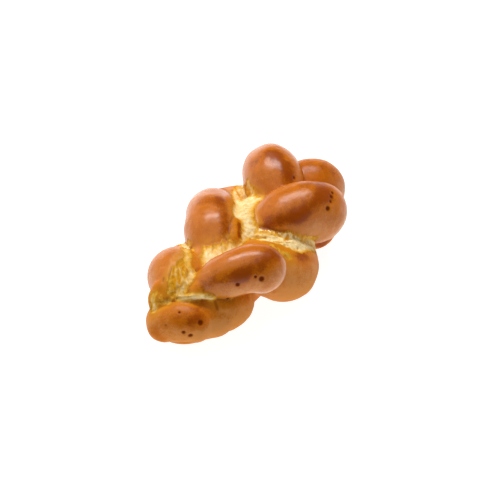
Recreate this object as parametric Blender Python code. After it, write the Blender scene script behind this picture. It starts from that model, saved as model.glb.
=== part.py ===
"""Braided loaf: a small three-strand plait of sweet dough, baked as one piece.

Frame: +X runs along the loaf, the near tip at -X. +Z is up and the loaf rests on Z = 0.
Right-hand bends lie at -Y, left-hand bends at +Y. Lengths are in metres.

Counting crossings from the near tip, each strand comes up at the middle, swells as it crosses
over, bends down at the outside and goes back under. An over pass is a lobe of the crust;
the under pass after it is the lower flank of the loaf. Dough rises unevenly, so every pass
has its own small shift, swing, tilt and girth on top of the regular plait.
"""

import math

import bmesh
import bpy
from mathutils import Matrix, Vector

for old in list(bpy.data.objects):
    bpy.data.objects.remove(old)

MM = 0.001

# The regular plait.
HALF_RUN = 98 * MM           # reach of the crossings each way along the loaf
CROSSING_SPAN = 4.2          # crossings from the middle to a tip, were they all full size
MIDDLE_CROSSING = 2.97       # crossing number that falls at the middle
SWAY = 36 * MM               # how far a strand swings sideways at mid loaf
SWAY_LEAN = 0.21             # how much an outer bend is squared off
RIDE_HEIGHT = 29 * MM        # mean height of a strand's centre line
RIDE_WAVE = 12 * MM          # rise and fall of a strand as it goes over and under
STRAND_RADIUS = 22.6 * MM    # half the thickness of a strand at mid loaf
TIP_SHARE = 0.5              # part of its height a strand keeps at the tips
TIP_GIRTH = 0.55             # part of its thickness a strand keeps at the tips

# How each pass departs from the regular plait: the crossing it belongs to; where it begins
# and ends, in crossings from there; its shift along, outwards and up, in millimetres; its
# girth, neck and tail as parts of the strand radius; its swing and tilt in degrees.
PASSES = {
    "near_right": (0, -0.85, 0.14, 6, -4, -6, 0.77, 1.02, 0.87, 11, -32),
    "near_left": (1, -0.2, 0.75, 2, -5, -6, 0.95, 0.87, 0.84, -3, -7),
    "second_right": (2, -0.9, 0.22, -6, 9, 8, 0.7, 0.41, 1.1, 12, -5),
    "middle_left": (3, -0.96, 0.77, -2, 3, -1, 0.88, 0.58, 1.0, 0, -4),
    "middle_right": (4, -0.76, 0.42, 3, 5, 1, 0.99, 0.5, 1.05, 1, 2),
    "far_left": (5, -1.01, 0.61, 6, -2, 7, 1.06, 0.6, 0.92, 9, -5),
    "far_right": (6, -1.06, 0.56, 2, 1, 1, 1.07, 0.6, 0.95, 7, -2),
    "near_right_flank": (0, 1.0, 2.63, 6, -11, -1, 0.99, 0.74, 0.74, 12, 8),
    "near_left_flank": (1, 0.6, 2.57, -2, -12, -3, 0.95, 0.76, 0.7, 0, 0),
    "second_right_flank": (2, 0.6, 2.41, 0, -1, -4, 0.97, 0.9, 0.69, 13, -3),
    "middle_left_flank": (3, 0.55, 2.64, 1, 0, -1, 0.99, 0.74, 0.7, 3, -3),
    "middle_right_flank": (4, 0.6, 2.65, -4, -5, -3, 0.97, 0.73, 0.7, 9, -4),
}

# The crumb risen between the strands, filling the valleys of the plait.
HEART_FROM = Vector((-70, 5, 22)) * MM
HEART_TO = Vector((78, 2, 23)) * MM
HEART_ARCH = 10 * MM         # extra height of the heart at mid loaf
HEART_RADIUS = 22 * MM

# At each tip the strand ends are pinched together and tucked down. At the near tip the
# first strand folds round into its own flank, and a short neck joins it to the second.
NEAR_PINCH_FROM = Vector((-86, 2, 20)) * MM
NEAR_PINCH_TO = Vector((-87, 7.5, 18.5)) * MM
NEAR_PINCH_RADIUS = 14.5 * MM
NEAR_PINCH_TIP_RADIUS = 13 * MM
NEAR_FOLD_FROM = Vector((-84, -7, 22)) * MM
NEAR_FOLD_TO = Vector((-67, -17, 17.5)) * MM
NEAR_FOLD_RADIUS = 13.5 * MM
NEAR_FOLD_TIP_RADIUS = 14.5 * MM
NEAR_NECK_FROM = Vector((-83, 12, 31)) * MM
NEAR_NECK_TO = Vector((-84, 12, 26)) * MM
NEAR_NECK_RADIUS = 9.5 * MM
FAR_PINCH_FROM = Vector((88, 2, 17)) * MM
FAR_PINCH_TO = Vector((100, 6, 11)) * MM
FAR_PINCH_RADIUS = 15 * MM
FAR_PINCH_TIP_RADIUS = 9.5 * MM

# The underside, baked flat on the tray, bridges the under passes.
SOLE_FROM = Vector((-66, 6, 6)) * MM
SOLE_TO = Vector((80, 4, 6)) * MM
SOLE_RADIUS = 31 * MM
SOLE_SQUASH = 0.5            # height of the sole relative to its width

PATH_STEPS = 16              # rings along a pass
RING_SIDES = 24
CAP_STEPS = 5                # rings in each rounded end
SWELL_SHARE = 0.45           # part of a pass over which it swells from neck to full girth
FINE_STEP = 2 * MM           # grain at which the passes are joined
FINE_SMOOTHING = 3
SKIN_STEP = 4 * MM           # grain of the finished skin
SKIN_SMOOTHING = 1


def plait_point(count, crossing):
    """Centre and radius of a strand, where count runs along the loaf in crossings."""
    side = -1 if crossing % 2 == 0 else 1
    phase = math.pi / 4 + (count - crossing) * math.pi / 3
    bearing = math.pi / 2 * (count - MIDDLE_CROSSING) / CROSSING_SPAN
    bearing = max(-1.5, min(1.5, bearing))
    fullness = math.cos(bearing)
    root = math.sqrt(fullness)
    lean = 1 - SWAY_LEAN * math.sin(2 * phase)
    x = HALF_RUN * math.sin(bearing)
    y = side * SWAY * fullness ** 0.6 * math.sin(phase) * lean
    z = RIDE_HEIGHT * (TIP_SHARE + (1 - TIP_SHARE) * root) + RIDE_WAVE * root * math.sin(2 * phase)
    radius = STRAND_RADIUS * (TIP_GIRTH + (1 - TIP_GIRTH) * root)
    return Vector((x, y, z)), radius


def girth_along(share, neck, tail):
    """Thickness of a pass relative to its full girth: a neck, a full body and a rounded tail."""
    if share < SWELL_SHARE:
        return neck + (1 - neck) * math.sin(math.pi / 2 * share / SWELL_SHARE)
    fall = (share - SWELL_SHARE) / (1 - SWELL_SHARE)
    return tail + (1 - tail) * math.cos(math.pi / 2 * fall)


def pass_path(crossing, begin, end, along, out, up, girth, neck, tail, swing, tilt):
    """Centres and radii down one pass of a strand."""
    side = -1 if crossing % 2 == 0 else 1
    centres = []
    radii = []
    for step in range(PATH_STEPS + 1):
        share = step / PATH_STEPS
        centre, radius = plait_point(crossing + begin + (end - begin) * share, crossing)
        centres.append(centre)
        radii.append(radius * girth * girth_along(share, neck, tail))
    middle = sum(centres, Vector()) / len(centres)
    turn = Matrix.Rotation(math.radians(swing * side), 3, "Z")
    rise = math.tan(math.radians(tilt)) * side
    path = []
    for centre, radius in zip(centres, radii):
        arm = turn @ (centre - middle)
        arm.z += rise * arm.y
        path.append((middle + arm + Vector((along, side * out, up)) * MM, radius))
    return path


def spindle_path(start, finish, arch, radius):
    """Centres and radii of a body that is fullest and highest half way along."""
    path = []
    for step in range(PATH_STEPS + 1):
        share = step / PATH_STEPS
        bulge = 1 - (2 * share - 1) ** 2
        centre = start.lerp(finish, share)
        centre.z += arch * (bulge - 0.5)
        path.append((centre, radius * (0.75 + 0.25 * math.sqrt(bulge))))
    return path


def pinch_path(start, finish, radius, tip_radius):
    """Centres and radii of a tip, narrowing evenly to the pinch."""
    path = []
    for step in range(PATH_STEPS + 1):
        share = step / PATH_STEPS
        path.append((start.lerp(finish, share), radius + (tip_radius - radius) * share))
    return path


def rounded_ends(path):
    """The path with rings added so that both ends close as half balls."""
    head, head_radius = path[0]
    tail, tail_radius = path[-1]
    back = (head - path[1][0]).normalized()
    ahead = (tail - path[-2][0]).normalized()
    rings = []
    for step in range(CAP_STEPS, 0, -1):
        angle = math.pi / 2 * step / (CAP_STEPS + 0.5)
        rings.append((head + back * head_radius * math.sin(angle), head_radius * math.cos(angle)))
    rings.extend(path)
    for step in range(1, CAP_STEPS + 1):
        angle = math.pi / 2 * step / (CAP_STEPS + 0.5)
        rings.append((tail + ahead * tail_radius * math.sin(angle), tail_radius * math.cos(angle)))
    return rings


def add_sausage(shape, path, squash=1.0):
    """A closed body swept down a path of centres and radii, round or squashed in height."""
    rings = rounded_ends(path)
    loops = []
    for place, (centre, radius) in enumerate(rings):
        before = rings[max(place - 1, 0)][0]
        after = rings[min(place + 1, len(rings) - 1)][0]
        heading = (after - before).normalized()
        sideways = heading.cross(Vector((0, 0, 1))).normalized()
        upright = sideways.cross(heading)
        loop = []
        for corner in range(RING_SIDES):
            angle = 2 * math.pi * corner / RING_SIDES
            spoke = sideways * math.cos(angle) + upright * math.sin(angle) * squash
            loop.append(shape.verts.new(centre + spoke * radius))
        loops.append(loop)
    for near, far in zip(loops, loops[1:]):
        for corner in range(RING_SIDES):
            nextcorner = (corner + 1) % RING_SIDES
            shape.faces.new((near[corner], near[nextcorner], far[nextcorner], far[corner]))
    shape.faces.new(list(reversed(loops[0])))
    shape.faces.new(loops[-1])


def add_skin(holder, step, smoothing):
    """Wrap the object in one skin of even grain, then ease it."""
    skin = holder.modifiers.new("skin", "REMESH")
    skin.mode = "VOXEL"
    skin.voxel_size = step
    ease = holder.modifiers.new("ease", "SMOOTH")
    ease.factor = 0.5
    ease.iterations = smoothing


def joined_skin(name, shape):
    """One smooth skin round everything in shape, as a new mesh."""
    rough = bpy.data.meshes.new(name + "_rough")
    shape.to_mesh(rough)
    holder = bpy.data.objects.new(name + "_rough", rough)
    bpy.context.scene.collection.objects.link(holder)
    add_skin(holder, FINE_STEP, FINE_SMOOTHING)
    add_skin(holder, SKIN_STEP, SKIN_SMOOTHING)
    bpy.context.view_layer.update()
    graph = bpy.context.evaluated_depsgraph_get()
    mesh = bpy.data.meshes.new_from_object(holder.evaluated_get(graph))
    bpy.data.objects.remove(holder)
    return mesh


def flatten_base(shape):
    """Cut the loaf level at Z = 0, where it baked against the tray."""
    everything = list(shape.verts) + list(shape.edges) + list(shape.faces)
    cut = bmesh.ops.bisect_plane(shape, geom=everything, plane_co=(0, 0, 0),
                                 plane_no=(0, 0, -1), clear_outer=True)
    rim = [edge for edge in cut["geom_cut"] if isinstance(edge, bmesh.types.BMEdge)]
    bmesh.ops.triangle_fill(shape, use_beauty=True, use_dissolve=False, edges=rim)
    bmesh.ops.recalc_face_normals(shape, faces=shape.faces)


def centre_on_origin(shape):
    """Bring the middle of the loaf's plan box over the origin."""
    low = Vector([min(vert.co[axis] for vert in shape.verts) for axis in range(3)])
    high = Vector([max(vert.co[axis] for vert in shape.verts) for axis in range(3)])
    middle = (low + high) / 2
    bmesh.ops.translate(shape, verts=shape.verts, vec=(-middle.x, -middle.y, 0))


def crust_material():
    material = bpy.data.materials.new("crust")
    material.use_nodes = True
    surface = material.node_tree.nodes["Principled BSDF"]
    surface.inputs["Base Color"].default_value = (0.46, 0.18, 0.045, 1)
    surface.inputs["Roughness"].default_value = 0.4
    return material


def build_loaf():
    strands = bmesh.new()
    for measures in PASSES.values():
        add_sausage(strands, pass_path(*measures))
    add_sausage(strands, spindle_path(HEART_FROM, HEART_TO, HEART_ARCH, HEART_RADIUS))
    near_pinch = pinch_path(NEAR_PINCH_FROM, NEAR_PINCH_TO, NEAR_PINCH_RADIUS, NEAR_PINCH_TIP_RADIUS)
    near_fold = pinch_path(NEAR_FOLD_FROM, NEAR_FOLD_TO, NEAR_FOLD_RADIUS, NEAR_FOLD_TIP_RADIUS)
    near_neck = spindle_path(NEAR_NECK_FROM, NEAR_NECK_TO, 0, NEAR_NECK_RADIUS)
    far_pinch = pinch_path(FAR_PINCH_FROM, FAR_PINCH_TO, FAR_PINCH_RADIUS, FAR_PINCH_TIP_RADIUS)
    for path in (near_pinch, near_fold, near_neck, far_pinch):
        add_sausage(strands, path)
    add_sausage(strands, spindle_path(SOLE_FROM, SOLE_TO, 0, SOLE_RADIUS), SOLE_SQUASH)
    bmesh.ops.recalc_face_normals(strands, faces=strands.faces)
    mesh = joined_skin("loaf", strands)
    strands.free()

    crust = bmesh.new()
    crust.from_mesh(mesh)
    flatten_base(crust)
    centre_on_origin(crust)
    crust.to_mesh(mesh)
    crust.free()

    mesh.name = "loaf"
    mesh.materials.append(crust_material())
    loaf = bpy.data.objects.new("loaf", mesh)
    bpy.context.scene.collection.objects.link(loaf)
    for face in mesh.polygons:
        face.use_smooth = True
    return loaf


build_loaf()
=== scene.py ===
# Braided loaf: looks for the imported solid, a small three-strand plait of sweet dough
import math

import bmesh
import bpy
import numpy as np
from mathutils import Matrix, Vector, noise


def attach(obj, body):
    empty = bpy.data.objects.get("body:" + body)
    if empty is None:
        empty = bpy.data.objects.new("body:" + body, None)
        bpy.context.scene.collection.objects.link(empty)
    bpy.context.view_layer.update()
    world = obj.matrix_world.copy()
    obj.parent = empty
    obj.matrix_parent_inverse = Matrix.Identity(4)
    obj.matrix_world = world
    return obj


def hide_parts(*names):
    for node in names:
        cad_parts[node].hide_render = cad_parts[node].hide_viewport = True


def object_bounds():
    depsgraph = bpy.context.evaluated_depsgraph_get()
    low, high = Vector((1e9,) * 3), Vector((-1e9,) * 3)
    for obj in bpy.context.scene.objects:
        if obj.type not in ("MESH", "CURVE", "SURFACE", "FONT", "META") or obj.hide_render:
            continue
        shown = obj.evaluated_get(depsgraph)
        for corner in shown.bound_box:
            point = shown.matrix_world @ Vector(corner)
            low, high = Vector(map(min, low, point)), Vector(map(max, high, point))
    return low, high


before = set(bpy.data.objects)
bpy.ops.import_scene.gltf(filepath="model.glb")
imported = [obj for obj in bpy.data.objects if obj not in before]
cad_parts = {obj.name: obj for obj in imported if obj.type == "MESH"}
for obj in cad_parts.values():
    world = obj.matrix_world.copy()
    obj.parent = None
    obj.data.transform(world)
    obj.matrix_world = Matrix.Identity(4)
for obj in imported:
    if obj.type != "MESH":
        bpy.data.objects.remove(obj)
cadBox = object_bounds()
print("frame loaded")

mm = 0.001

# camera, light and floor

studio = {
    "lookAt": (0.0072, -0.0009, 0.0158),
    "heading": 29.8,     # degrees from +X, the way the camera looks
    "down": 36.4,
    "distance": 0.8555,
    "lens": 85,
    "sensor": 36,
    "floorSize": 6.0,
    "floorDrop": 0.2 * mm,   # keeps the floor clear of the loaf's base
    "floorColour": (0.3, 0.3, 0.3, 1),
    "floorGlow": 0.94,   # the floor shines by itself as well
    "roomGlow": 0.02,
    # turn from the camera's heading and height above the floor in degrees, then the
    # panel's reach to each side in degrees, and how brightly it shines
    "panels": {
        "stripBox": {"turn": 0, "height": 68, "wide": 21, "tall": 11, "shine": 9.0},
        "skyBox": {"turn": 90, "height": 78, "wide": 33, "tall": 34, "shine": 0.85},
        "leftWall": {"turn": 75, "height": 22, "wide": 52, "tall": 21, "shine": 0.82},
        "rightWall": {"turn": -95, "height": 13, "wide": 55, "tall": 12, "shine": 0.5},
        "farWall": {"turn": 0, "height": 7, "wide": 38, "tall": 8, "shine": 1.1},
    },
    "panelDistance": 1.6,
    "panelAim": (0, 0, 0.03),
}


def aim(thing, place, target):
    towards = Vector(target) - Vector(place)
    turn = towards.to_track_quat("-Z", "Y").to_matrix().to_4x4()
    thing.matrix_world = Matrix.Translation(place) @ turn


def addCamera():
    lens = bpy.data.cameras.new("camera")
    lens.lens = studio["lens"]
    lens.sensor_width = studio["sensor"]
    lens.clip_start = 0.01
    camera = bpy.data.objects.new("camera", lens)
    bpy.context.scene.collection.objects.link(camera)
    heading = math.radians(studio["heading"])
    down = math.radians(studio["down"])
    flat = Vector((math.cos(heading), math.sin(heading), 0))
    ahead = flat * math.cos(down) - Vector((0, 0, math.sin(down)))
    target = Vector(studio["lookAt"])
    aim(camera, target - ahead * studio["distance"], target)
    bpy.context.scene.camera = camera


def addPanel(name, panel):
    wide = 2 * studio["panelDistance"] * math.tan(math.radians(panel["wide"]))
    tall = 2 * studio["panelDistance"] * math.tan(math.radians(panel["tall"]))
    glow = bpy.data.lights.new(name, "AREA")
    glow.shape = "RECTANGLE"
    glow.size = wide
    glow.size_y = tall
    glow.energy = panel["shine"] * math.pi * wide * tall
    box = bpy.data.objects.new(name, glow)
    bpy.context.scene.collection.objects.link(box)
    turn = math.radians(studio["heading"] + panel["turn"])
    height = math.radians(panel["height"])
    way = Vector((math.cos(turn) * math.cos(height), math.sin(turn) * math.cos(height), math.sin(height)))
    aim(box, way * studio["panelDistance"], studio["panelAim"])


def addFloor():
    shape = bmesh.new()
    bmesh.ops.create_grid(shape, x_segments=1, y_segments=1, size=studio["floorSize"] / 2)
    mesh = bpy.data.meshes.new("floor")
    shape.to_mesh(mesh)
    shape.free()
    floor = bpy.data.objects.new("floor", mesh)
    floor.location.z = -studio["floorDrop"]
    bpy.context.scene.collection.objects.link(floor)
    paint = bpy.data.materials.new("floorPaint")
    paint.use_nodes = True
    surface = paint.node_tree.nodes["Principled BSDF"]
    surface.inputs["Base Color"].default_value = studio["floorColour"]
    surface.inputs["Roughness"].default_value = 0.9
    surface.inputs["Specular IOR Level"].default_value = 0.1
    surface.inputs["Emission Color"].default_value = (1, 1, 1, 1)
    surface.inputs["Emission Strength"].default_value = studio["floorGlow"]
    mesh.materials.append(paint)


def addRoom():
    room = bpy.data.worlds.new("room")
    room.use_nodes = True
    glow = room.node_tree.nodes["Background"]
    glow.inputs["Color"].default_value = (1, 1, 1, 1)
    glow.inputs["Strength"].default_value = studio["roomGlow"]
    bpy.context.scene.world = room


addCamera()
for name, panel in studio["panels"].items():
    addPanel(name, panel)
addFloor()
addRoom()
bpy.context.scene.view_settings.view_transform = "Standard"
print("studio set")

# the plait, as strands joined into one skin

plait = {
    "halfRun": 98 * mm,
    "crossingSpan": 4.2,
    "middleCrossing": 2.97,
    "widestBearing": 1.5,
    "sway": 36 * mm,
    "swayLean": 0.21,
    "swayFade": 0.6,
    "rideHeight": 29 * mm,
    "rideWave": 12 * mm,
    "strandRadius": 22.4 * mm,
    "tipShare": 0.5,
    "tipGirth": 0.55,
    "swellShare": 0.45,
    "steps": 48,
    "sides": 56,
    "capSteps": 14,
    # crossing, from, to, along, out, up, girth, neck, tail, swing, tilt
    "lobes": {
        "nearRight": (0, -0.85, 0.14, 6, -4, -6, 0.76, 1.02, 0.87, 11, -32),
        "nearLeft": (1, -0.2, 0.75, 2, -5, -6, 0.94, 0.87, 0.84, -3, -7),
        "secondRight": (2, -0.9, 0.22, -6, 9, 8, 0.69, 0.41, 1.1, 12, -5),
        "middleLeft": (3, -0.96, 0.77, -2, 3, -1, 0.88, 0.58, 1.0, 0, -4),
        "middleRight": (4, -0.76, 0.42, 3, 5, 1, 0.99, 0.5, 1.05, 1, 2),
        "farLeft": (5, -1.01, 0.61, 6, -2, 7, 1.06, 0.6, 0.92, 9, -5),
        "farRight": (6, -1.06, 0.56, 2, 1, 1, 1.07, 0.6, 0.95, 7, -2),
    },
    "flanks": {
        "nearRightFlank": (0, 1.0, 2.63, 6, -11, -1, 0.98, 0.74, 0.74, 12, 8),
        "nearLeftFlank": (1, 0.6, 2.57, -2, -12, -3, 0.95, 0.76, 0.7, 0, 0),
        "secondRightFlank": (2, 0.6, 2.41, 0, -1, -4, 0.97, 0.9, 0.69, 13, -3),
        "middleLeftFlank": (3, 0.55, 2.64, 1, 0, -1, 0.99, 0.74, 0.7, 3, -3),
        "middleRightFlank": (4, 0.6, 2.65, -4, -5, -3, 0.97, 0.73, 0.7, 9, -4),
    },
    "heart": {"start": (-70, 5, 22), "finish": (78, 2, 23), "arch": 10, "radius": 22},
    "nearPinch": {"start": (-86, 2, 20), "finish": (-87, 7.5, 18.5), "radius": 14.3, "tip": 13},
    "farPinch": {"start": (88, 2, 17), "finish": (100, 6, 11), "radius": 15, "tip": 9.5},
    "nearFold": {"start": (-84, -7, 22), "finish": (-67, -17, 17.5), "radius": 13.5, "tip": 14.5},
    "sole": {"start": (-66, 6, 6), "finish": (80, 4, 6), "radius": 31, "squash": 0.5},
    # stretched strings of bare dough, and strips of glazed skin left lying on it
    "bareRopes": {
        "underRight": {"start": (0, -13, 42), "finish": (17, -39, 31), "arch": 3, "radius": 4.5},
        "overFlank": {"start": (-9, -25, 43), "finish": (24, -43, 25), "arch": 4, "radius": 4.5},
        "lipRight": {"start": (-82, 0, 37.5), "finish": (-70, -20, 38), "arch": 1, "radius": 2.6},
    },
    "skinRopes": {
        "nearNeck": {"start": (-80, 14, 37), "finish": (-84, 12, 26), "arch": 0, "radius": 9.4},
        "rightTip": {"start": (-60, -14, 43), "finish": (-72, -7.5, 39.5), "arch": 0, "radius": 5},
        "leafStrip": {"start": (2, 6.5, 47), "finish": (-17, -4, 44.5), "arch": 2, "radius": 5.2},
    },
    "spindleEnd": 0.75,   # part of its radius a spindle keeps at its ends
    "grain": 0.86 * mm,   # voxel size of the joined skin
    "smoothing": 4,
}


def plaitPoint(count, crossing):
    side = -1 if crossing % 2 == 0 else 1
    phase = math.pi / 4 + (count - crossing) * math.pi / 3
    bearing = math.pi / 2 * (count - plait["middleCrossing"]) / plait["crossingSpan"]
    bearing = max(-plait["widestBearing"], min(plait["widestBearing"], bearing))
    fullness = math.cos(bearing)
    root = math.sqrt(fullness)
    lean = 1 - plait["swayLean"] * math.sin(2 * phase)
    x = plait["halfRun"] * math.sin(bearing)
    y = side * plait["sway"] * fullness ** plait["swayFade"] * math.sin(phase) * lean
    rest = plait["rideHeight"] * (plait["tipShare"] + (1 - plait["tipShare"]) * root)
    z = rest + plait["rideWave"] * root * math.sin(2 * phase)
    radius = plait["strandRadius"] * (plait["tipGirth"] + (1 - plait["tipGirth"]) * root)
    return Vector((x, y, z)), radius


def girthAlong(share, neck, tail):
    swell = plait["swellShare"]
    if share < swell:
        return neck + (1 - neck) * math.sin(math.pi / 2 * share / swell)
    return tail + (1 - tail) * math.cos(math.pi / 2 * (share - swell) / (1 - swell))


def passPath(crossing, begin, end, along, out, up, girth, neck, tail, swing, tilt):
    side = -1 if crossing % 2 == 0 else 1
    rings = []
    for step in range(plait["steps"] + 1):
        share = step / plait["steps"]
        centre, radius = plaitPoint(crossing + begin + (end - begin) * share, crossing)
        rings.append((centre, radius * girth * girthAlong(share, neck, tail)))
    middle = sum((centre for centre, radius in rings), Vector()) / len(rings)
    turn = Matrix.Rotation(math.radians(swing * side), 3, "Z")
    rise = math.tan(math.radians(tilt)) * side
    path = []
    for centre, radius in rings:
        arm = turn @ (centre - middle)
        arm.z += rise * arm.y
        path.append((middle + arm + Vector((along, side * out, up)) * mm, radius))
    return path


def spindlePath(start, finish, arch, radius):
    end = plait["spindleEnd"]
    path = []
    for step in range(plait["steps"] + 1):
        share = step / plait["steps"]
        bulge = 1 - (2 * share - 1) ** 2
        centre = Vector(start).lerp(Vector(finish), share) * mm
        centre.z += arch * mm * (bulge - 0.5)
        path.append((centre, radius * mm * (end + (1 - end) * math.sqrt(bulge))))
    return path


def pinchPath(start, finish, radius, tip):
    path = []
    for step in range(plait["steps"] + 1):
        share = step / plait["steps"]
        centre = Vector(start).lerp(Vector(finish), share) * mm
        path.append((centre, (radius + (tip - radius) * share) * mm))
    return path


def roundedEnds(path):
    head, headRadius = path[0]
    tail, tailRadius = path[-1]
    back = (head - path[1][0]).normalized()
    ahead = (tail - path[-2][0]).normalized()
    rings = []
    caps = plait["capSteps"]
    for step in range(caps, 0, -1):
        angle = math.pi / 2 * step / (caps + 0.5)
        rings.append((head + back * headRadius * math.sin(angle), headRadius * math.cos(angle)))
    rings.extend(path)
    for step in range(1, caps + 1):
        angle = math.pi / 2 * step / (caps + 0.5)
        rings.append((tail + ahead * tailRadius * math.sin(angle), tailRadius * math.cos(angle)))
    return rings


def ringPlace(rings, place, squash):
    before = rings[max(place - 1, 0)][0]
    after = rings[min(place + 1, len(rings) - 1)][0]
    heading = (after - before).normalized()
    sideways = heading.cross(Vector((0, 0, 1))).normalized()
    upright = sideways.cross(heading)
    centre, radius = rings[place]
    turn = Matrix((sideways * radius, upright * radius * squash, heading * radius))
    return Matrix.Translation(centre) @ turn.transposed().to_4x4()


def addSausage(strands, path, squash=1.0):
    shape = bmesh.new()
    rings = roundedEnds(path)
    spot = ringPlace(rings, 0, squash)
    ring = bmesh.ops.create_circle(shape, segments=plait["sides"], radius=1, matrix=spot)
    edges = list({edge for vert in ring["verts"] for edge in vert.link_edges})
    ends = list(edges)
    for place in range(1, len(rings)):
        onward = ringPlace(rings, place, squash)
        grown = bmesh.ops.extrude_edge_only(shape, edges=edges)["geom"]
        verts = [item for item in grown if isinstance(item, bmesh.types.BMVert)]
        edges = [item for item in grown if isinstance(item, bmesh.types.BMEdge)]
        bmesh.ops.transform(shape, matrix=onward @ spot.inverted(), verts=verts)
        spot = onward
    bmesh.ops.holes_fill(shape, edges=ends + edges, sides=0)
    single = bpy.data.meshes.new("strand")
    shape.to_mesh(single)
    shape.free()
    strands.from_mesh(single)
    bpy.data.meshes.remove(single)


def joinSkin(shape):
    rough = bpy.data.meshes.new("roughLoaf")
    shape.to_mesh(rough)
    holder = bpy.data.objects.new("roughLoaf", rough)
    bpy.context.scene.collection.objects.link(holder)
    skin = holder.modifiers.new("skin", "REMESH")
    skin.mode = "VOXEL"
    skin.voxel_size = plait["grain"]
    ease = holder.modifiers.new("ease", "SMOOTH")
    ease.factor = 0.5
    ease.iterations = plait["smoothing"]
    graph = bpy.context.evaluated_depsgraph_get()
    mesh = bpy.data.meshes.new_from_object(holder.evaluated_get(graph))
    bpy.data.objects.remove(holder)
    mesh.name = "loaf"
    return mesh


def cutBase(mesh):
    shape = bmesh.new()
    shape.from_mesh(mesh)
    everything = list(shape.verts) + list(shape.edges) + list(shape.faces)
    cut = bmesh.ops.bisect_plane(shape, geom=everything, plane_co=(0, 0, 0),
                                 plane_no=(0, 0, -1), clear_outer=True)
    rim = [item for item in cut["geom_cut"] if isinstance(item, bmesh.types.BMEdge)]
    bmesh.ops.triangle_fill(shape, use_beauty=True, use_dissolve=False, edges=rim)
    bmesh.ops.recalc_face_normals(shape, faces=shape.faces)
    shape.to_mesh(mesh)
    shape.free()


lobePaths = {name: passPath(*measures) for name, measures in plait["lobes"].items()}
flankPaths = {name: passPath(*measures) for name, measures in plait["flanks"].items()}
heartPath = spindlePath(**plait["heart"])
nearPinchPath = pinchPath(**plait["nearPinch"])
farPinchPath = pinchPath(**plait["farPinch"])
nearFoldPath = pinchPath(**plait["nearFold"])
sole = plait["sole"]
solePath = spindlePath(sole["start"], sole["finish"], 0, sole["radius"])

barePaths = {name: spindlePath(**measures) for name, measures in plait["bareRopes"].items()}
skinPaths = {name: spindlePath(**measures) for name, measures in plait["skinRopes"].items()}

strands = bmesh.new()
for group in (lobePaths, flankPaths, barePaths, skinPaths):
    for path in group.values():
        addSausage(strands, path)
addSausage(strands, heartPath)
addSausage(strands, nearPinchPath)
addSausage(strands, farPinchPath)
addSausage(strands, nearFoldPath)
addSausage(strands, solePath, sole["squash"])
bmesh.ops.recalc_face_normals(strands, faces=strands.faces)
loafMesh = joinSkin(strands)
strands.free()
cutBase(loafMesh)
print("strands joined:", len(loafMesh.vertices), "points")

# fields over the skin: which strand a point is on and how far it is from the others


def readPoints(mesh):
    flat = np.zeros(len(mesh.vertices) * 3)
    mesh.vertices.foreach_get("co", flat)
    return flat.reshape(-1, 3)


def readNormals(mesh):
    flat = np.zeros(len(mesh.vertices) * 3)
    mesh.vertices.foreach_get("normal", flat)
    return flat.reshape(-1, 3)


def strandFields(points, path):
    # gap: distance outside the strand's skin; run: metres along it;
    # share: 0 to 1 along it; turn: angle round it
    centres = np.array([tuple(centre) for centre, radius in path])
    radii = np.array([radius for centre, radius in path])
    gap = np.full(len(points), np.inf)
    share = np.zeros(len(points))
    turn = np.zeros(len(points))
    lengths = np.linalg.norm(np.diff(centres, axis=0), axis=1)
    starts = np.concatenate(([0], np.cumsum(lengths)))
    run = np.zeros(len(points))
    for step in range(len(path) - 1):
        leg = centres[step + 1] - centres[step]
        heading = leg / lengths[step]
        reach = np.clip((points - centres[step]) @ heading / lengths[step], 0, 1)
        nearest = centres[step] + reach[:, None] * leg
        arm = points - nearest
        off = np.linalg.norm(arm, axis=1) - (radii[step] + reach * (radii[step + 1] - radii[step]))
        sideways = np.cross(heading, (0, 0, 1))
        sideways /= np.linalg.norm(sideways)
        upright = np.cross(sideways, heading)
        closer = off < gap
        gap[closer] = off[closer]
        share[closer] = (step + reach[closer]) / (len(path) - 1)
        run[closer] = starts[step] + reach[closer] * lengths[step]
        turn[closer] = np.arctan2(arm[closer] @ upright, arm[closer] @ sideways)
    return {"gap": gap, "share": share, "run": run, "turn": turn}


points = readPoints(loafMesh)
normals = readNormals(loafMesh)
allPaths = {**lobePaths, **flankPaths, **skinPaths, "nearPinch": nearPinchPath, "farPinch": farPinchPath,
            "nearFold": nearFoldPath, "heart": heartPath, **barePaths}
fields = {name: strandFields(points, path[::4]) for name, path in allPaths.items()}
allNames = list(fields)
gaps = np.array([fields[name]["gap"] for name in allNames]) / mm
owner = gaps.argmin(axis=0)
isBare = np.array([name == "heart" or name in barePaths for name in allNames])
isLobe = np.array([name in lobePaths for name in allNames])
bareGap = gaps[isBare].min(axis=0)
skinGap = gaps[~isBare].min(axis=0)
lobeNames = list(lobePaths)
lobeGaps = gaps[isLobe]
nearLobe = lobeGaps.argmin(axis=0)
height = points[:, 2] / mm
print("fields measured")


def smoothStep(low, high, value):
    share = np.clip((value - low) / (high - low), 0, 1)
    return share * share * (3 - 2 * share)


def noiseAt(places, size, seed):
    start = Vector((seed, seed * 0.37, 0))
    return np.array([noise.noise(Vector(place) / size + start) for place in places])


def reachTo(start, finish):
    # distance in mm from a straight line between two places given in mm
    leg = np.subtract(finish, start)
    arm = points / mm - start
    share = np.clip(arm @ leg / max(leg @ leg, 1e-9), 0, 1)
    return np.linalg.norm(arm - share[:, None] * leg, axis=1)


# torn crumb, where the rising dough pulled the glazed skin apart

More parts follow.
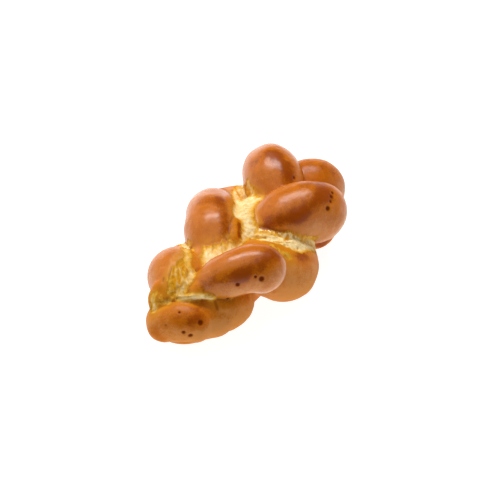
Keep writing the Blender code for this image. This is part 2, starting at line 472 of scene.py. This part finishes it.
tears = {
    # bare dough showing beyond the lobe above a flank, in mm
    "flankReach": {
        "nearRightFlank": 0.0, "nearLeftFlank": 5, "secondRightFlank": 1.2, "middleLeftFlank": 5,
        "middleRightFlank": 4,
    },
    "innerShare": 0.5,   # beyond this share of its run a flank has turned in under the plait
    "innerSlope": 60,    # how fast the tear deepens from there, in mm over the whole run
    # how ragged the skin's edge is round each lobe, in mm
    "rag": {"nearRight": 0.5, "nearLeft": 0.9, "secondRight": 0.5, "middleLeft": 1.0, "middleRight": 0.55,
            "farLeft": 1.2, "farRight": 0.8},
    "lowest": 9,         # no tears below this height
    # strings fan out round a lobe, their spacing measured on an arc of this radius
    "fanRadius": 30 * mm,
    # how much of the way from a lobe's middle, and along a rope, counts towards a string's length
    "fanShare": 0.6,
    "ropeShare": 0.7,
    # from, to, radius in mm, how creamy the dough is there; one low value paints shade
    "bare": [
        ((-62, 9, 50), (-70, 7, 49), 3.6, 0.1),
        ((-70, 7, 49), (-81, 3.5, 41.5), 5, 0.2),
        ((-63, 1, 46), (-72, -0.5, 44.5), 3.4, 0.95),
        ((-72, -0.5, 44.5), (-81, -0.5, 40), 3.4, 0.9),
        ((-87, 14.5, 36), (-92.5, 13, 30.5), 3.6, 1.0),
        ((-87.5, 12, 35.5), (-86, 5, 35), 2.6, 0.9),
        ((46, 21, 47), (38, 13, 45), 4, 0.8),
        ((5, 5, 49), (22, 12, 47), 6, 0.9),
        ((22, 12, 47), (46, 28, 38), 6, 0.85),
        ((46, 28, 38), (57, 34, 36), 3.5, 0.4),
        # painted shade: less creamy, more honey-coloured, in the hollow under the right lobe
        ((-4, -22, 45), (12, -40, 37), 7.5, 0.5),
        ((12, -40, 37), (30, -44, 26), 6, 1.0),
        ((-13, -30, 45), (-8, -42, 38), 2.5, 0.2),
        ((-30, 26, 40), (-44, 17, 47), 3, 0.85),
        ((-44, 17, 47), (-56, 9, 49), 3.2, 1.0),
        ((-56, 9, 49), (-62, 4, 47.5), 2.4, 0.95),
    ],
    # skin that stayed on: from, to, radius in mm
    "glazed": [
        ((-28, 17, 46), (-42, 11, 45.5), 4),
        ((-42, 11, 45.5), (-50, 4.5, 44.8), 2.8),
        ((84, 2, 28), (104, 4, 14), 21),
        ((-95, 22, 13), (-60, 28, 13), 13),
    ],
}


def tornField():
    # in mm inside the torn area, negative on glazed skin
    field = skinGap - bareGap
    for name, reach in tears["flankReach"].items():
        place = allNames.index(name)
        ownLobe = lobeNames.index(name.replace("Flank", ""))
        cover = np.delete(lobeGaps, ownLobe, axis=0).min(axis=0)
        inner = (fields[name]["share"] - tears["innerShare"]) * tears["innerSlope"]
        mine = owner == place
        field[mine] = np.maximum(field, np.maximum(reach - cover, inner))[mine]
    creamToneAndShade = np.ones(len(points))
    for start, finish, radius, tone in tears["bare"]:
        inside = radius - reachTo(start, finish)
        field = np.maximum(field, inside)
        creamToneAndShade += (tone - creamToneAndShade) * smoothStep(-1, 2, inside)
    for start, finish, radius in tears["glazed"]:
        field = np.minimum(field, reachTo(start, finish) - radius)
    return np.minimum(field, height - tears["lowest"]), creamToneAndShade


def stringNoise(wide, long, seed):
    return np.array([noise.noise(Vector((turn / (wide * mm), reach / (long * mm), seed)))
                     for turn, reach in zip(around, across)])


def edgeRag():
    # short strings of skin and dough across the torn edge
    size = np.array([tears["rag"][name] for name in lobeNames])[nearLobe]
    return stringNoise(1.5, 5, 4.0) * size * 1.3 + noiseAt(points, 4 * mm, 3.1) * size * 1.3


def stringWays():
    # across: how far along a string of dough; around: from one string to the next. Strings hang
    # out from the rim of the nearest lobe, and run lengthways on the stretched ropes.
    middles = np.array([np.mean([tuple(centre) for centre, radius in path], axis=0)
                        for path in lobePaths.values()])[nearLobe]
    arms = points - middles
    around = np.arctan2(arms[:, 1], arms[:, 0]) * tears["fanRadius"]
    across = lobeGaps.min(axis=0) * mm + np.linalg.norm(arms, axis=1) * tears["fanShare"]
    for name, path in barePaths.items():
        mine = owner == allNames.index(name)
        around[mine] = fields[name]["turn"][mine] * path[len(path) // 2][1]
        across[mine] = fields[name]["run"][mine] * tears["ropeShare"]
    return around, across


around, across = stringWays()
torn, creamToneAndShade = tornField()
torn = np.clip(torn + edgeRag(), -10, 10)
tornMask = smoothStep(-0.7, 0.7, torn)


def neighbourMean(mesh, values, rounds):
    edges = np.zeros(len(mesh.edges) * 2, int)
    mesh.edges.foreach_get("vertices", edges)
    edges = edges.reshape(-1, 2)
    count = np.zeros(len(values))
    np.add.at(count, edges[:, 0], 1)
    np.add.at(count, edges[:, 1], 1)
    for turn in range(rounds):
        total = np.zeros_like(values)
        np.add.at(total, edges[:, 0], values[edges[:, 1]])
        np.add.at(total, edges[:, 1], values[edges[:, 0]])
        values = total / (count[:, None] if values.ndim > 1 else count)
    return values


relief = {
    # all in mm
    "skinLip": 0.7,      # how far the skin stands above the torn dough
    "strings": 0.65,
    "lumps": 0.5,
    "swell": 0.45,       # slow unevenness of the whole crust
    "dimple": 0.12,
    "groove": 0.7,       # how deep the line is where two glazed lobes meet
    "grooveWidth": 1.3,
    # where one strand runs into the next without a groove: from, to, radius in mm
    "joined": [((-78, 15, 38), (-84, 14, 32), 10), ((-91, 13, 30), (-94, 8, 30), 5),
               ((-60, -12, 44), (-72, -8, 40), 7)],
    # blisters in the glaze that burst into small dark pits: place and radius
    "pitDepth": 0.7,
    "pits": [
        ((59.6, -10.7, 55.7), 1.6), ((55.8, -43.5, 55.6), 1.5), ((51.6, -44.9, 55.1), 1.9),
        ((47.5, -46.2, 53.6), 1.4), ((41.9, -46.8, 51.1), 2.2), ((-50.4, -45, 49.8), 2.2),
        ((-52.6, -41.8, 51.7), 1.1), ((-60.9, -33, 47.3), 1.7), ((-62.6, -26.3, 34.9), 1.6),
        ((-49, -37, 36), 1.2), ((-71.5, -8, 43), 1.2), ((-87.1, -20.2, 28.6), 2.1),
        ((-96.5, -12.9, 24), 1.6), ((-93.9, -16.5, 21), 1.9), ((-99.5, -1.1, 27.2), 1.0),
        ((-91.3, -6.9, 34.6), 1.0),
    ],
}

eased = neighbourMean(loafMesh, points, 10)
isStrip = np.isin(owner, [allNames.index(name) for name in skinPaths])
blend = neighbourMean(loafMesh, np.maximum(tornMask, isStrip), 2)[:, None] * 0.7
blend[height < 1] = 0
moved = points + (eased - points) * blend
inside = smoothStep(-0.4, 1.6, torn)
strings = stringNoise(1.7, 8, 0.3)
lumps = noiseAt(points, 2.4 * mm, 7.7)
offset = tornMask * (strings * relief["strings"] + lumps * relief["lumps"]) - inside * relief["skinLip"]
swells = noiseAt(points, 16 * mm, 1.3) * relief["swell"] * 2
offset += swells + noiseAt(points, 4 * mm, 5.5) * relief["dimple"]
# the near end is one fold of dough, so no groove parts its pieces
fold = [allNames.index(name) for name in ("nearRight", "nearRightFlank", "nearPinch", "nearFold")]
bodies = [gaps[fold].min(axis=0)]
bodies += [gap for place, gap in enumerate(gaps) if not isBare[place] and place not in fold]
nextGap = np.sort(bodies, axis=0)[1]
groove = (1 - smoothStep(0, relief["grooveWidth"], nextGap)) * (1 - tornMask)
for start, finish, radius in relief["joined"]:
    groove *= smoothStep(0, 3, reachTo(start, finish) - radius)
offset -= groove * relief["groove"]
offset[height < 2] = 0
moved += normals * (offset * mm)[:, None]
moved[:, 2] = np.where(points[:, 2] < 0.01 * mm, points[:, 2], np.maximum(moved[:, 2], 0.05 * mm))

for place, radius in relief["pits"]:
    depth = 1 - smoothStep(0.2, 1.2, reachTo(place, place) / radius)
    moved -= normals * (depth * relief["pitDepth"] * mm)[:, None]

low = moved.min(axis=0)
high = moved.max(axis=0)
# the dressed loaf stands over the middle of the solid
cadMiddle = [(least + most) / 2 for least, most in zip(cadBox[0], cadBox[1])]
shift = np.array([cadMiddle[0] - (low[0] + high[0]) / 2, cadMiddle[1] - (low[1] + high[1]) / 2, 0])
moved += shift
loafMesh.vertices.foreach_set("co", moved.ravel())
loafMesh.update()

# how far each stretch of the crust is baked and glazed, with a few spots of painted shade

bakingAndShade = {
    # strand: how much browner than the rest, how glossy
    "strands": {
        "nearRight": (-0.05, 0.4), "middleRight": (0, 0.85), "farRight": (0.1, 0.6),
        "leafStrip": (0.1, 0.2), "nearNeck": (0, 0.3),
        "rightTip": (0, 0.4), "nearLeft": (-0.05, 0.7), "nearRightFlank": (-0.3, 0.2),
        "nearFold": (-0.1, 0.4), "nearPinch": (-0.3, 0.3), "secondRightFlank": (-0.2, 0.4),
        "nearLeftFlank": (-0.1, 0.5), "middleLeftFlank": (-0.1, 0.5), "middleRightFlank": (-0.1, 0.5),
    },
    # from, to, radius in mm, how much browner
    "spots": [
        ((10, -18, 48), (23, -35, 53), 8, 0.8),
        ((23, -35, 53), (48, -41, 58), 8, 0.75),
        ((48, -41, 58), (60, -36, 58), 8, 0.4),
        ((-68, -13, 46), (-58, -34, 52), 7, 0.75),
        ((-58, -34, 52), (-35, -46, 60), 7.5, 0.85),
        ((56, 21, 61), (66, 9, 66), 7, 0.35),
        ((66, 9, 66), (54, -9, 57), 7, 0.65),
        ((-2, 31, 58), (4, 19, 58), 6, 0.3),
        ((4, 19, 58), (-20, 1, 50), 6, 0.55),
        ((78, -9, 53), (90, -25, 49), 7, 0.3),
        ((-94, -9, 32), (-84, -20, 30), 6, 0.45),
        ((-92, -17, 29), (-86, -21, 26), 6, 0.3),
        ((-84, -12, 34), (-76, -18, 35), 3, 0.5),
        ((-1, -45, 36), (7, -48, 32), 6, 0.5),
        # painted shadow: brown along the lower edge of the second right lobe, where it overhangs the flank
        ((-66, -25, 33), (-48, -33, 28), 5, 0.7),
        ((-102, 8, 19), (-101, 2, 15), 6, 0.45),
        ((-97, 9, 30), (-98, 11, 21), 6, -0.5),
        ((-88, 13, 36), (-91, 14, 26), 6, -0.6),
        ((-9, -44, 36), (-14, -44, 28), 6, -0.4),
        ((66, -4, 61.5), (60, -9, 58), 5, 0.5),
        ((-84, 13, 39), (-86, 9, 37.5), 4, 0.5),
        ((-84, -17, 32), (-90, -16, 31), 4, 0.35),
        ((4, -47, 33), (16, -48, 29), 7, 0.4),
        ((44, -27, 62), (58, -32, 60), 6, 0.45),
        ((-4, -2, 50.5), (-13, -6, 47), 2.4, 1.1),
        # painted shade: strong brown in the low notch under the far right lobe
        ((52, -38, 10), (56, -39, 8), 9, 1.4),
        ((-89, -22, 20), (-76, -28, 20), 8, -0.6),
        ((-66, -11, 51), (-69, -11, 47), 5, -0.4),
        ((40, 17, 50), (30, 3, 52), 6, -0.3),
    ],
    # cracks in the glaze, brown: from, to, half width in mm
    "cracks": [
        ((-70, 12, 49), (-78, 10, 45), 0.8),
        ((-78, 10, 45), (-84, 8, 39), 0.6),
        ((-70, -21, 35), (-72, -24, 31), 1.0),
        ((-77, 14, 46), (-82, 12, 41), 0.6),
    ],
    # skin stretched thin and yellow: from, to, radius in mm, how much
    "thin": [
        ((-56, 14, 51), (-72, 11, 49), 6, 0.45), ((-72, 11, 49), (-84, 7, 40), 6, 0.45),
        ((-86, 14, 38), (-92, 14, 30), 5, 0.45), ((-7, -36, 44), (-9, -49, 30), 7, 0.18),
        ((46, 21, 48), (38, 6, 48), 4.5, 0.8),
        ((29, 5, 48), (8, -11, 46), 3, 0.7), ((-32, 10, 48), (-17, 0, 48), 2.5, 0.45),
        ((-28, 14, 47), (-46, 6, 45), 3, 0.2), ((0, 8, 49), (-16, -2, 46), 4, 0.9),
        ((-58, 26, 46), (-76, 22, 40), 6, 0.3), ((28, 0, 52), (44, -14, 59), 5, 0.22),
        ((-66, -24, 34), (-50, -35, 26), 5, 0.3), ((-88, -2, 33), (-92, 8, 31), 3, 0.5),
    ],
}


def strandField(place):
    values = np.array([bakingAndShade["strands"].get(name, (0, 1))[place] for name in allNames])[owner]
    return neighbourMean(loafMesh, values, 6)


browningAndPaintedShade = strandField(0)
glaze = strandField(1) * (0.3 + 0.7 * smoothStep(6, 30, height))    # little was brushed on low down
# browner spots; most are baked colour, a few are painted shade
for start, finish, radius, amount in bakingAndShade["spots"]:
    browningAndPaintedShade += amount * (1 - smoothStep(0.1, 1.3, reachTo(start, finish) / radius))
thin = np.zeros(len(points))
for start, finish, radius, amount in bakingAndShade["thin"]:
    thin = np.maximum(thin, amount * (1 - smoothStep(0.2, 1.4, reachTo(start, finish) / radius)))
browningAndPaintedShade += 0.5 * (1 - smoothStep(0, 3, height))    # browned where it sat on the tray
# painted shade: the creases where two glazed lobes meet are coloured dark like the cracks
crackAndCreaseShade = groove.copy()
for start, finish, radius in bakingAndShade["cracks"]:
    crackAndCreaseShade = np.maximum(crackAndCreaseShade, 1 - smoothStep(0.4, 1.6, reachTo(start, finish) / radius))


def storeField(name, values):
    attribute = loafMesh.attributes.new(name, "FLOAT", "POINT")
    attribute.data.foreach_set("value", values.astype(np.float32))


storeField("torn", torn / 10)
storeField("creamToneAndShade", creamToneAndShade)
storeField("around", around)
storeField("across", across)
storeField("lift", neighbourMean(loafMesh, normals[:, 2], 6))
storeField("crackAndCreaseShade", crackAndCreaseShade)
storeField("browningAndPaintedShade", browningAndPaintedShade)
storeField("glaze", glaze)
storeField("thin", thin)
# the crumb's relief, used to paint shade into its hollows
storeField("ridge", strings + lumps * 0.6)
print("skin shaped")

class Wire:
    # a number on its way between nodes
    def __init__(self, surface, socket):
        self.surface = surface
        self.socket = socket

    def maths(self, operation, *others):
        sockets = {0: self}
        for place, other in enumerate(others):
            sockets[place + 1] = other
        return self.surface.node("ShaderNodeMath", {"operation": operation}, sockets)

    def __add__(self, other):
        return self.maths("ADD", other)

    def __radd__(self, other):
        return self.maths("ADD", other)

    def __sub__(self, other):
        return self.maths("SUBTRACT", other)

    def __rsub__(self, other):
        return self.surface.node("ShaderNodeMath", {"operation": "SUBTRACT"}, {0: other, 1: self})

    def __mul__(self, other):
        return self.maths("MULTIPLY", other)

    def __rmul__(self, other):
        return self.maths("MULTIPLY", other)

    def ramp(self, low, high, start=0.0, finish=1.0):
        return self.surface.node(
            "ShaderNodeMapRange", {"interpolation_type": "SMOOTHSTEP"},
            {"Value": self, "From Min": low, "From Max": high, "To Min": start, "To Max": finish})


class Surface:
    def __init__(self, name):
        self.material = bpy.data.materials.new(name)
        self.material.use_nodes = True
        self.tree = self.material.node_tree
        self.tree.nodes.clear()

    def node(self, kind, settings=None, sockets=None, output=0):
        made = self.tree.nodes.new(kind)
        for name, value in (settings or {}).items():
            setattr(made, name, value)
        for name, value in (sockets or {}).items():
            if isinstance(value, Wire):
                self.tree.links.new(value.socket, made.inputs[name])
            else:
                made.inputs[name].default_value = value
        return Wire(self, made.outputs[output]) if made.outputs else None

    def field(self, name):
        return self.node("ShaderNodeAttribute", {"attribute_name": name}, output=2)

    def place(self):
        return self.node("ShaderNodeTexCoord", output=3)

    def cloud(self, scale, detail, roughness, vector=None):
        sockets = {"Scale": scale, "Detail": detail, "Roughness": roughness}
        sockets["Vector"] = vector or self.place()
        return self.node("ShaderNodeTexNoise", None, sockets)

    def mixColour(self, factor, first, second):
        return self.node("ShaderNodeMix", {"data_type": "RGBA", "blend_type": "MIX"},
                         {0: factor, 6: first, 7: second}, output=2)


crust = {
    "pale": (0.70, 0.270, 0.055, 1),
    "golden": (0.60, 0.160, 0.005, 1),
    "brown": (0.33, 0.060, 0.001, 1),
    "amber": (0.66, 0.220, 0.006, 1),
    "crumbLight": (0.98, 0.79, 0.42, 1),
    "crumbGold": (0.83, 0.43, 0.040, 1),
    "honey": (0.66, 0.275, 0.008, 1),
    "thin": (0.68, 0.265, 0.012, 1),
    "toasted": (0.50, 0.19, 0.012, 1),
    # dark brown of the cracks, also used as painted shade in the creases between lobes
    "crackAndCreaseShade": (0.25, 0.05, 0.002, 1),
    "pit": (0.14, 0.016, 0.001, 1),
    "gloss": 0.23,
}


def pitMarks(surface, place, blur):
    marks = None
    for spot, radius in relief["pits"]:
        centre = Vector(spot) * mm + Vector(shift)
        far = surface.node("ShaderNodeVectorMath", {"operation": "DISTANCE"}, {0: place, 1: centre}, 1)
        mark = 1 - (far + blur).ramp(radius * 0.5 * mm, radius * 1.2 * mm)
        marks = mark if marks is None else marks.maths("MAXIMUM", mark)
    return marks


def crustMaterial():
    surface = Surface("crust")
    place = surface.place()
    torn = surface.field("torn") * 10
    creamToneAndShade = surface.field("creamToneAndShade")
    lift = surface.field("lift")
    browningAndPaintedShade = surface.field("browningAndPaintedShade")
    glaze = surface.field("glaze")
    crackAndCreaseShade = surface.field("crackAndCreaseShade")
    thin = surface.field("thin")
    ridge = surface.field("ridge")
    around = surface.field("around")
    across = surface.field("across")

    fine = surface.cloud(1100, 4, 0.6)
    mottle = surface.cloud(230, 5, 0.62)
    drift = surface.cloud(38, 3, 0.5)
    threadWay = surface.node("ShaderNodeCombineXYZ", None, {0: around * 1000, 1: across * 420, 2: 0.0})
    threads = surface.cloud(1.0, 4, 0.6, threadWay)
    wispWay = surface.node("ShaderNodeCombineXYZ", None, {0: around * 380, 1: across * 190, 2: 3.0})
    wisps = surface.cloud(1.0, 3, 0.6, wispWay)

    # glazed skin, paler low down, amber towards the tears
    edge = torn + (threads - 0.5) * 3.0 + (wisps - 0.5) * 2.5 + (mottle - 0.5) * 3.5
    mask = edge.ramp(-1.1, 0.7)
    # how brown the crust is, including the spots of painted shade
    browningWithShade = lift * 0.45 + 0.36 + browningAndPaintedShade + (drift - 0.5) * 0.6 + (mottle - 0.5) * 1.2 + (fine - 0.5) * 1.2
    skin = surface.mixColour(browningWithShade.ramp(0.0, 0.7), crust["pale"], crust["golden"])
    skin = surface.mixColour(edge.ramp(-7.5, -1.0) * 0.9, skin, crust["amber"])
    skin = surface.mixColour(browningWithShade.ramp(0.65, 1.6), skin, crust["brown"])
    drawn = (thin + (threads - 0.5) * 0.8).ramp(0.05, 0.8) * thin.ramp(0, 0.3)
    skin = surface.mixColour(drawn, skin, crust["thin"])
    # painted shade in the creases between glazed lobes, and the brown of the cracks
    skin = surface.mixColour(crackAndCreaseShade * 0.6, skin, crust["crackAndCreaseShade"])

    # bare dough, golden where it thins out under the skin
    flesh = surface.mixColour(edge.ramp(0.3, 4.0), crust["crumbGold"], crust["crumbLight"])
    curds = surface.cloud(520, 3, 0.55)
    flesh = surface.mixColour((fine * 0.4 + curds * 0.6).ramp(0.5, 0.66) * 0.75, flesh, crust["crumbGold"])
    # painted shade: the hollows between the strings of dough are coloured golden
    flesh = surface.mixColour((0.1 - ridge).ramp(0, 0.4) * 0.4, flesh, crust["crumbGold"])
    flesh = surface.mixColour(fine.ramp(0.56, 0.7) * 0.35, flesh, crust["honey"])
    honey = surface.mixColour(curds.ramp(0.4, 0.6) * 0.4, crust["honey"], crust["crumbGold"])
    honey = surface.mixColour(wisps.ramp(0.5, 0.66) * 0.5, honey, crust["toasted"])
    # honey colour where the dough is less creamy, partly painted shade in the hollows between strings and
    # under the right lobe
    flesh = surface.mixColour((creamToneAndShade + (mottle - 0.5) * 1.0 + ridge * 0.6).ramp(0.05, 0.75), honey, flesh)
    singed = (1 - edge.ramp(0.0, 2.6)) * wisps.ramp(0.46, 0.6) * 0.75
    flesh = surface.mixColour(singed, flesh, crust["toasted"])
    colour = surface.mixColour(mask, skin, flesh)
    pitted = pitMarks(surface, place, (fine - 0.5) * 0.0006 + (mottle - 0.5) * 0.0012)
    colour = surface.mixColour(pitted * 0.92, colour, crust["pit"])

    roughness = (1 - glaze) * 0.12 + thin * 0.1 + (mottle - 0.5) * 0.12 + crust["gloss"]
    height = (1 - mask) * ((mottle - 0.5) * 0.45 + (fine - 0.5) * 0.2)
    height = height + mask * (threads * 0.8 + curds * 2.0)
    height = height + (1 - mask) * thin * threads * 1.2
    bump = surface.node("ShaderNodeBump", None,
                        {"Strength": 0.5, "Distance": 0.0008, "Height": height})
    matt = surface.node("ShaderNodeBsdfPrincipled", None, {
        "Base Color": colour, "Roughness": 0.9, "Normal": bump, "Specular IOR Level": 0.0})
    washed = surface.node("ShaderNodeBsdfPrincipled", None, {
        "Base Color": colour, "Roughness": roughness, "Normal": bump, "IOR": 1.43})
    shader = surface.node("ShaderNodeMixShader", None, {
        0: glaze * (1 - mask) * (1 - pitted), 1: matt, 2: washed})
    surface.node("ShaderNodeOutputMaterial", None, {"Surface": shader})
    return surface.material


loafMesh.materials.clear()
loafMesh.materials.append(crustMaterial())
for face in loafMesh.polygons:
    face.use_smooth = True
loaf = bpy.data.objects.new("braidedLoaf", loafMesh)
bpy.context.scene.collection.objects.link(loaf)
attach(loaf, "root")
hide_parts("loaf")
print("crust painted, triangles:", sum(len(face.vertices) - 2 for face in loafMesh.polygons))
